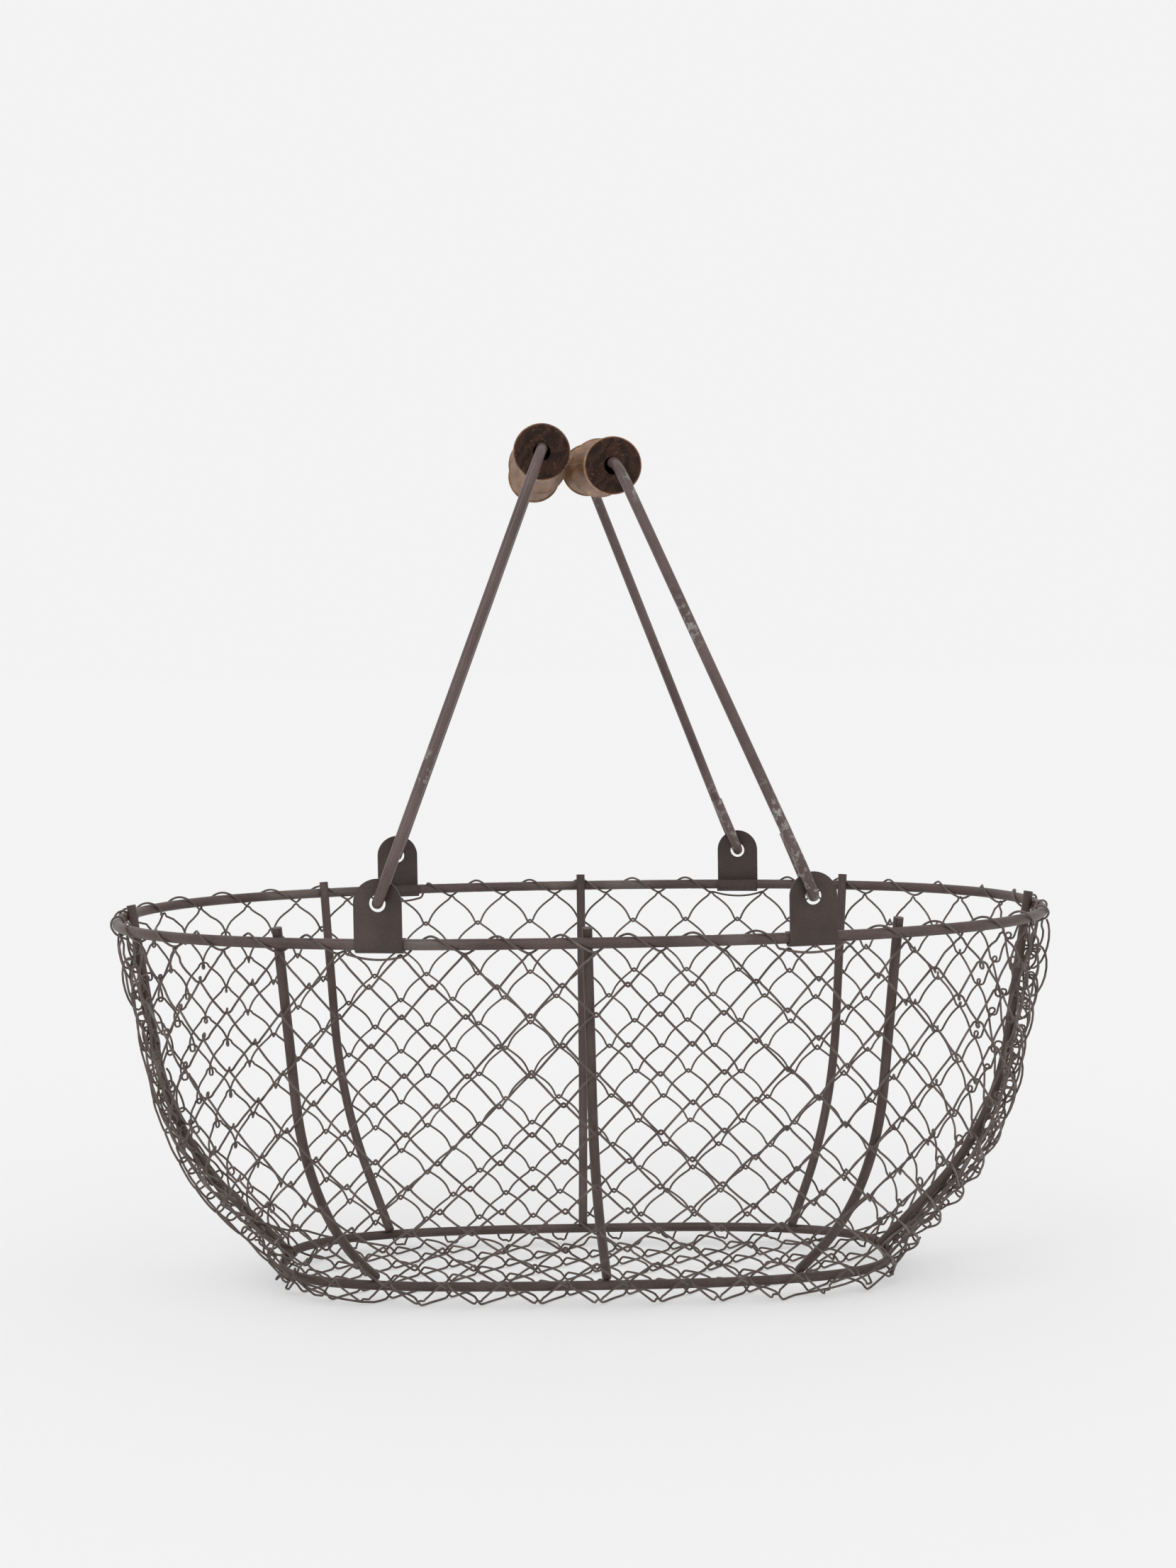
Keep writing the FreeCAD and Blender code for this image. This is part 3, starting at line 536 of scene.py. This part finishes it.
def coated_steel(name, tone, rubbing, gloss):
    """Dark brown powder coat on steel: fine speckle, and smooth greyish rubbed places."""
    material, tree, shader, coords = new_material(name)
    speckle = noise(tree, coords, 2600, 2.0, 0.6)
    cloud = noise(tree, coords, 55, 3.0, 0.55)
    patch = noise(tree, coords, 16, 3.0, 0.6)
    dark = tuple(c * tone for c in (0.060, 0.038, 0.034))
    light = tuple(c * tone for c in (0.104, 0.070, 0.063))
    colour = ramp(tree, cloud, [(0.30, dark), (0.72, light)])
    grains = ramp(tree, speckle, [(0.36, grey(0.72)), (0.62, grey(1.32))])
    colour = mix_colour(tree, 0.8, colour, grains, "MULTIPLY")
    rubbed = ramp(tree, patch, [(0.80 - rubbing * 0.42, grey(0.0)), (0.94 - rubbing * 0.30, grey(1.0))])
    worn = ramp(tree, speckle, [(0.3, (0.150, 0.136, 0.114)), (0.7, (0.290, 0.268, 0.230))])
    share = math_node(tree, "MULTIPLY", rubbed, 0.62, True)
    colour = mix_colour(tree, share, colour, worn)
    tree.links.new(colour, shader.inputs["Base Color"])
    rough = ramp(tree, cloud, [(0.3, grey(gloss)), (0.7, grey(gloss + 0.12))])
    rough = mix_colour(tree, share, rough, grey(gloss - 0.10))
    tree.links.new(rough, shader.inputs["Roughness"])
    shader.inputs["Specular IOR Level"].default_value = 0.36
    height = weighted(tree, "ADD", speckle, 0.7, cloud, 0.5)
    bump(tree, shader, height, 0.35, 0.25 * mm)
    return material


def handle_steel(name):
    """The bails' coat: darker, glossier, scraped to bare metal in streaks and chips."""
    material, tree, shader, coords = new_material(name)
    speckle = noise(tree, coords, 2200, 2.0, 0.6)
    cloud = noise(tree, coords, 40, 3.0, 0.55)
    chips = noise(tree, coords, 330, 4.0, 0.62)
    zone = noise(tree, coords, 22, 2.0, 0.5)
    colour = ramp(tree, cloud, [(0.30, (0.066, 0.042, 0.041)), (0.72, (0.122, 0.082, 0.078))])
    grains = ramp(tree, speckle, [(0.36, grey(0.75)), (0.62, grey(1.3))])
    colour = mix_colour(tree, 0.7, colour, grains, "MULTIPLY")
    rubbed = ramp(tree, zone, [(0.54, grey(0.0)), (0.66, grey(1.0))])
    chipped = ramp(tree, chips, [(0.52, grey(0.0)), (0.58, grey(1.0))])
    scar = math_node(tree, "MULTIPLY", rubbed, chipped, True)
    bare = ramp(tree, speckle, [(0.3, (0.24, 0.235, 0.215)), (0.7, (0.46, 0.45, 0.42))])
    colour = mix_colour(tree, math_node(tree, "MULTIPLY", scar, 0.7), colour, bare)
    tree.links.new(colour, shader.inputs["Base Color"])
    tree.links.new(math_node(tree, "MULTIPLY", scar, 0.45), shader.inputs["Metallic"])
    rough = mix_colour(tree, scar, ramp(tree, cloud, [(0.3, grey(0.28)), (0.7, grey(0.40))]), grey(0.28))
    tree.links.new(rough, shader.inputs["Roughness"])
    shader.inputs["Specular IOR Level"].default_value = 0.42
    height = weighted(tree, "SUBTRACT", cloud, 0.6, scar, 0.35)
    bump(tree, shader, height, 0.5, 0.4 * mm)
    return material


def woven_wire(name):
    """Thin drawn wire under the same coat: brown, with lighter rubbed stretches."""
    material, tree, shader, coords = new_material(name)
    cloud = noise(tree, coords, 70, 3.0, 0.6)
    speckle = noise(tree, coords, 1700, 2.0, 0.6)
    dark, brown, rubbed = (0.056, 0.037, 0.033), (0.092, 0.065, 0.057), (0.165, 0.130, 0.110)
    colour = ramp(tree, cloud, [(0.28, dark), (0.55, brown), (0.78, rubbed)])
    grains = ramp(tree, speckle, [(0.34, grey(0.7)), (0.64, grey(1.35))])
    colour = mix_colour(tree, 0.75, colour, grains, "MULTIPLY")
    tree.links.new(colour, shader.inputs["Base Color"])
    tree.links.new(ramp(tree, cloud, [(0.3, grey(0.48)), (0.75, grey(0.34))]), shader.inputs["Roughness"])
    bump(tree, shader, speckle, 0.4, 0.1 * mm)
    return material


# Half a grip's length, and the factor that makes a distance from its axis a share of 20 mm.
GRIP_HALF = 57.0 * mm
PER_RADIUS = 50.0


def turned_wood(name, centre, axis, seed):
    """Dark stained turned wood: grain along the grip, with painted shade in the narrow coves; end grain
    almost black, with a paler ring at its edge that is a painted highlight.
    """
    material, tree, shader, coords = new_material(name)
    turn = axis.rotation_difference(Vector((0, 0, 1)))
    shift = tree.nodes.new("ShaderNodeVectorMath")
    shift.operation = "SUBTRACT"
    tree.links.new(coords, shift.inputs[0])
    shift.inputs[1].default_value = centre
    rotate = tree.nodes.new("ShaderNodeVectorRotate")
    rotate.rotation_type = "EULER_XYZ"
    rotate.inputs["Rotation"].default_value = turn.to_euler("XYZ")
    tree.links.new(shift.outputs[0], rotate.inputs["Vector"])
    local = rotate.outputs[0]
    split = tree.nodes.new("ShaderNodeSeparateXYZ")
    tree.links.new(local, split.inputs[0])
    offset = tree.nodes.new("ShaderNodeVectorMath")
    offset.operation = "ADD"
    offset.inputs[1].default_value = (seed * 0.37, seed * 0.21, seed * 0.11)
    tree.links.new(local, offset.inputs[0])
    grain_space = offset.outputs[0]
    fibre = noise(tree, grain_space, 900, 3.0, 0.6, (1.0, 1.0, 0.045))
    band = noise(tree, grain_space, 190, 3.0, 0.55, (1.0, 1.0, 0.10))
    blotch = noise(tree, grain_space, 60, 2.0, 0.5, (1.0, 1.0, 0.5))
    radius = tree.nodes.new("ShaderNodeVectorMath")
    radius.operation = "LENGTH"
    flat = tree.nodes.new("ShaderNodeCombineXYZ")
    tree.links.new(split.outputs["X"], flat.inputs["X"])
    tree.links.new(split.outputs["Y"], flat.inputs["Y"])
    tree.links.new(flat.outputs[0], radius.inputs[0])
    reach = radius.outputs["Value"]
    along = math_node(tree, "ABSOLUTE", split.outputs["Z"])
    # side: grain and stain, with painted shade that darkens it where the turning is narrow, in the coves
    scaled = math_node(tree, "MULTIPLY", reach, PER_RADIUS)
    painted_cove_shade = ramp(tree, scaled, [(0.535, grey(1.0)), (0.60, grey(0.0))])
    dark, brown, pale = (0.150, 0.070, 0.036), (0.275, 0.150, 0.082), (0.400, 0.250, 0.150)
    side = ramp(tree, band, [(0.28, dark), (0.50, brown), (0.74, pale)])
    lines = ramp(tree, fibre, [(0.32, grey(0.55)), (0.66, grey(1.30))])
    side = mix_colour(tree, 0.75, side, lines, "MULTIPLY")
    # painted shade: the coves are mixed towards this dark brown
    side = mix_colour(tree, math_node(tree, "MULTIPLY", painted_cove_shade, 0.45), side, (0.085, 0.036, 0.020))
    blotches = ramp(tree, blotch, [(0.3, grey(0.72)), (0.7, grey(1.18))])
    side = mix_colour(tree, 0.6, side, blotches, "MULTIPLY")
    # end grain: very dark, with pale pores
    pores = noise(tree, grain_space, 900, 3.0, 0.65)
    rings = tree.nodes.new("ShaderNodeTexWave")
    rings.wave_type, rings.bands_direction = "BANDS", "DIAGONAL"
    rings.inputs["Scale"].default_value = 70.0
    rings.inputs["Distortion"].default_value = 16.0
    rings.inputs["Detail"].default_value = 2.0
    tree.links.new(grain_space, rings.inputs["Vector"])
    end = ramp(tree, rings.outputs["Fac"], [(0.1, (0.018, 0.0075, 0.0045)), (0.9, (0.040, 0.017, 0.010))])
    open_pores = ramp(tree, pores, [(0.58, grey(0.0)), (0.72, grey(0.7))])
    end = mix_colour(tree, open_pores, end, (0.170, 0.085, 0.048))
    # painted highlight: a paler ring along the rim of each end face
    edge = ramp(tree, scaled, [(0.555, grey(0.0)), (0.605, grey(1.0))])
    end = mix_colour(tree, math_node(tree, "MULTIPLY", edge, 0.35), end, (0.120, 0.060, 0.038))
    past = math_node(tree, "SUBTRACT", along, GRIP_HALF - 1.0 * mm)
    face = ramp(tree, math_node(tree, "MULTIPLY", past, 1 / mm), [(0.45, grey(0.0)), (0.80, grey(1.0))])
    colour = mix_colour(tree, face, side, end)
    tree.links.new(colour, shader.inputs["Base Color"])
    rough = ramp(tree, fibre, [(0.3, grey(0.50)), (0.7, grey(0.66))])
    rough = mix_colour(tree, face, rough, grey(0.70))
    tree.links.new(rough, shader.inputs["Roughness"])
    shader.inputs["Specular IOR Level"].default_value = 0.22
    height = weighted(tree, "ADD", fibre, 0.6, pores, 0.3)
    bump(tree, shader, height, 0.45, 0.3 * mm)
    return material


def wear(node, material):
    node.data.materials.clear()
    node.data.materials.append(material)


steel = coated_steel("coated_steel", 0.82, 0.35, 0.40)
STEELS = {
    "rim_ring": coated_steel("coated_steel_rim", 0.95, 0.60, 0.34),
    "tab": coated_steel("coated_steel_tab", 0.66, 0.05, 0.44),
    "bail": handle_steel("coated_steel_bail")}
wire_steel = woven_wire("woven_wire")

for name, node in nodes.items():
    if not name.startswith("grip"):
        special = [finish for start, finish in STEELS.items() if name.startswith(start)]
        wear(node, special[0] if special else steel)

for joint in frame["joints"]:
    name = joint["child"]
    if name.startswith("grip"):
        low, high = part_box(name)
        seed = 1.0 if name.endswith("left") else 2.0
        axis = Vector(joint["axis"]).normalized()
        wear(nodes[name], turned_wood("turned_wood_" + name, (low + high) / 2, axis, seed))

# ---------------------------------------------------------------- the woven fabric

# The end pieces begin at this share of a wall's half length, and the floor piece ends at this height.
SEAM = 0.80
FLOOR_SEAM = 9 * mm
# Each piece, and the CAD node that it stands in for.
REPLACED = {
    "fabric_front": "mesh_front",
    "fabric_back": "mesh_back",
    "fabric_left_end": "mesh_left_end",
    "fabric_right_end": "mesh_right_end",
    "fabric_floor": "mesh_base",
    "lacing_wire_front": "lacing_front",
    "lacing_wire_back": "lacing_back"}
pieces = {name: Tubes(name) for name in REPLACED}


def split_add(path, left, right, middle):
    """Adds one wire to the end pieces where left or right is true, and elsewhere to the middle one.

    Each run shares its end point with the next.
    """
    names = np.where(left, "fabric_left_end", np.where(right, "fabric_right_end", middle))
    start = 0
    for k in range(1, len(names) + 1):
        if k == len(names) or names[k] != names[start]:
            pieces[names[start]].add(path[start:min(k + 1, len(names))])
            start = k


for side in (-1, 1):
    for number in range(ROWS):
        path, s, t = wall_row(number, side)
        share = s / side_length(t)
        split_add(path, share < -SEAM, share > SEAM, "fabric_front" if side < 0 else "fabric_back")

for number in range(FLOOR_ROWS):
    path, s = floor_row(number)
    beyond = path[:, 2] > FLOOR_SEAM
    split_add(path, beyond & (s < 0), beyond & (s > 0), "fabric_floor")

# ---------------------------------------------------------------- the gathered edges round the end ribs


# Just short of the end rib, where the wall still has a direction outward.
ALMOST = 0.9999
GATHER_STEPS = 18


def rib_line(sign, run):
    """Points down the fabric's line at an end, and the directions outward from it."""
    p, out = wall_frame(run, np.full_like(run, sign * 1.0) * side_length(run) * ALMOST, -1)
    p[:, 1] = 0.0
    out[:, 1] = 0.0
    out[:, 0] = np.abs(out[:, 0]) * sign
    out /= np.linalg.norm(out, axis=1, keepdims=True)
    p -= out * drawn_in(run, sign * side_length(run))[:, None]
    return p, out


def gather(sign, start, stop, pitch, reach, at, seed, phase):
    """A wire that coils loosely down an end rib, between two distances down the wall.

    reach is how far its loops swing along the rib, outward and across; at is the outward and
    sideways place of its middle line.
    """
    along_reach, out_reach, side_reach = reach
    out_at, side_at = at
    turns = (stop - start) / pitch
    k = np.linspace(0, turns, int(turns * GATHER_STEPS) + 2)
    angle = 2 * math.pi * k + phase
    uneven = 1 + 0.30 * ripple(k * 2.2, k * 0.0 + seed, seed + 0.3)
    run = start + k * pitch - along_reach * uneven * np.cos(angle)
    run = run + 0.8 * mm * ripple(k * 1.7, k * 0 + 2.0, seed)
    outward = out_at + out_reach * uneven * np.sin(angle)
    outward = outward + 0.9 * mm * ripple(k * 1.3, k * 0 + 5.0, seed + 1.1)
    across = side_at + side_reach * np.sin(angle * 0.5 + seed)
    across = across + 1.2 * mm * ripple(k * 1.1, k * 0 + 7.0, seed + 2.3)
    run = np.clip(run, 0.5 * mm, WALL_LENGTH - 1 * mm)
    outward *= 1 - 0.6 * run / WALL_LENGTH
    p, out = rib_line(sign, run)
    line = p + out * outward[:, None]
    line[:, 1] += across
    line[:, 2] = np.maximum(line[:, 2], WIRE + 0.05 * mm)
    return line


for sign, name in ((-1, "fabric_left_end"), (1, "fabric_right_end")):
    bulge = 1.0 if sign < 0 else 1.3
    loops = [
        # scalloped loops outside the rib, from the row ends of the front and of the back
        (9 * mm, 0.74, ROW, (8.0 * mm, 3.4 * mm * bulge, 1.6 * mm), (3.0 * mm * bulge, -3.4 * mm), 1.0, 0.4),
        (13 * mm, 0.80, ROW * 1.07, (6.0 * mm, 3.6 * mm * bulge, 1.8 * mm), (2.6 * mm * bulge, 4.0 * mm),
         2.0, 2.1),
        # small loops hard against the rib
        (5 * mm, 0.97, ROW * 0.95, (3.6 * mm, 2.3 * mm, 1.8 * mm), (-2.0 * mm, -5.0 * mm), 3.0, 1.2),
        # wires drawn tight down the rib
        (2 * mm, 0.99, ROW * 2.3, (0.0, 1.2 * mm, 2.6 * mm), (0.4 * mm, -1.0 * mm), 5.0, 0.0),
        (4 * mm, 0.96, ROW * 1.9, (0.0, 1.5 * mm, 2.4 * mm), (-0.4 * mm, 2.6 * mm), 7.0, 4.2)]
    for start, stop_share, *rest in loops:
        pieces[name].add(gather(sign, start, WALL_LENGTH * stop_share, *rest))

# ---------------------------------------------------------------- the wires that lace the fabric to the rim


LACING_STEPS = 1500
# Half the width of a tab with room for the wire to turn, and the tab's depth below the rim's rod.
TAB_REACH, TAB_SAG = 11.5 * mm, 1.25 * mm


def lacing(side):
    """A loose coil round the rim from one end rib to the other, one turn for each mesh of the top row."""
    xs, ys, half = quarter(RIM_A, RIM_B, RIM_POWER)
    s = np.linspace(-half, half, LACING_STEPS)
    share = np.abs(s) / half
    x = np.interp(share, OUTLINE_SHARES, xs) * np.sign(s)
    y = np.interp(share, OUTLINE_SHARES, ys) * side
    mid = np.stack([x, y, np.full_like(x, RIM_Z)], axis=1)
    along = np.gradient(mid, axis=0)
    along /= np.linalg.norm(along, axis=1, keepdims=True)
    out = np.cross(along, [0, 0, 1.0]) * (-side)
    u = s / HALF_PITCH
    tight = 1 + 0.5 * np.clip((share - 0.88) / 0.12, 0, 1) ** 2
    column = np.concatenate([[0], np.cumsum(np.diff(u) * (tight[1:] + tight[:-1]) / 2)])
    column -= np.interp(0.0, s, column)
    column += 0.05 * ripple(u, u * 0 + 4.0, 25.0 + side)
    # lowest where the top row's coils peak
    angle = math.pi * (column - SHIFT[side] + (1.0 if side < 0 else 0.0))
    if side > 0:
        angle = -angle
    low = np.clip(-np.cos(angle), 0, 1) ** 6
    high = np.clip(np.cos(angle), 0, 1) ** 2
    raised = (0.5 + 0.4 * ripple(u, u * 0 + 3.0, 21.0 + side)) * mm
    reach = RIM_ROD + WIRE + 0.1 * mm + low * 0.9 * mm + high * raised
    outward, upward = reach * np.sin(angle), reach * np.cos(angle)
    # it passes under and outside each tab
    for tab in ("left", "right"):
        low_corner, high_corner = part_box(("tab_front_" if side < 0 else "tab_back_") + tab)
        off = x - (low_corner.x + high_corner.x) / 2
        under = np.clip(1.35 - np.abs(off + 1.0 * mm) / TAB_REACH, 0, 1)
        under = smooth(np.clip(under / 0.35, 0, 1))
        middle = np.clip(1 - (off / (12 * mm)) ** 2, 0, 1)
        sag = RIM_ROD + TAB_SAG + WIRE + 0.1 * mm + 1.9 * mm * middle
        outward = outward * (1 - under) + 1.4 * mm * under
        upward = upward * (1 - under) - sag * under
    wobble = 0.9 * mm * ripple(u, u * 0 + 1.0, 23.0 + side)
    path = mid + out * outward[:, None] + np.array([0, 0, 1.0]) * upward[:, None] + along * wobble[:, None]
    return path[::2]


pieces["lacing_wire_front"].add(lacing(-1))
pieces["lacing_wire_back"].add(lacing(1))

for name, node in REPLACED.items():
    pieces[name].build(wire_steel, node)

# ---------------------------------------------------------------- floor

FLOOR_HALF = 60
# The floor gives off a little light, which keeps the shadow under the basket pale.
FLOOR_GREY, FLOOR_GLOW = 0.52, 0.37

corners = [(x * FLOOR_HALF, y * FLOOR_HALF, 0) for x, y in ((-1, -1), (1, -1), (1, 1), (-1, 1))]
floor_mesh = bpy.data.meshes.new("floor")
floor_mesh.from_pydata(corners, [], [(0, 1, 2, 3)])
floor = bpy.data.objects.new("floor", floor_mesh)
bpy.context.scene.collection.objects.link(floor)
floor_material, _, shader, _ = new_material("floor")
shader.inputs["Base Color"].default_value = (*grey(FLOOR_GREY), 1)
shader.inputs["Emission Color"].default_value = (*grey(1.0), 1)
shader.inputs["Emission Strength"].default_value = FLOOR_GLOW
shader.inputs["Roughness"].default_value = 1.0
shader.inputs["Specular IOR Level"].default_value = 0.0
floor.data.materials.append(floor_material)

# ---------------------------------------------------------------- light

# The strength of the light all round, and of the backdrop as the camera sees it.
SKY_LIGHT, SKY_SEEN = 0.865, 0.896

world = bpy.data.worlds.new("world")
world.use_nodes = True
tree = world.node_tree
background = tree.nodes["Background"]
background.inputs["Color"].default_value = (1, 1, 1, 1)
path_node = tree.nodes.new("ShaderNodeLightPath")
strength = tree.nodes.new("ShaderNodeMix")
strength.inputs["A"].default_value = SKY_LIGHT
strength.inputs["B"].default_value = SKY_SEEN
tree.links.new(path_node.outputs["Is Camera Ray"], strength.inputs["Factor"])
tree.links.new(strength.outputs["Result"], background.inputs["Strength"])
bpy.context.scene.world = world
bpy.context.scene.view_settings.view_transform = "Standard"


def sun(name, energy, angle, direction):
    data = bpy.data.lights.new(name, "SUN")
    data.energy, data.angle = energy, math.radians(angle)
    obj = bpy.data.objects.new(name, data)
    obj.rotation_euler = Vector(direction).to_track_quat("-Z", "Y").to_euler()
    bpy.context.scene.collection.objects.link(obj)


sun("key", 0.52, 30, (0.45, 0.75, -1.0))
sun("fill", 0.18, 50, (-0.8, 0.9, -0.7))
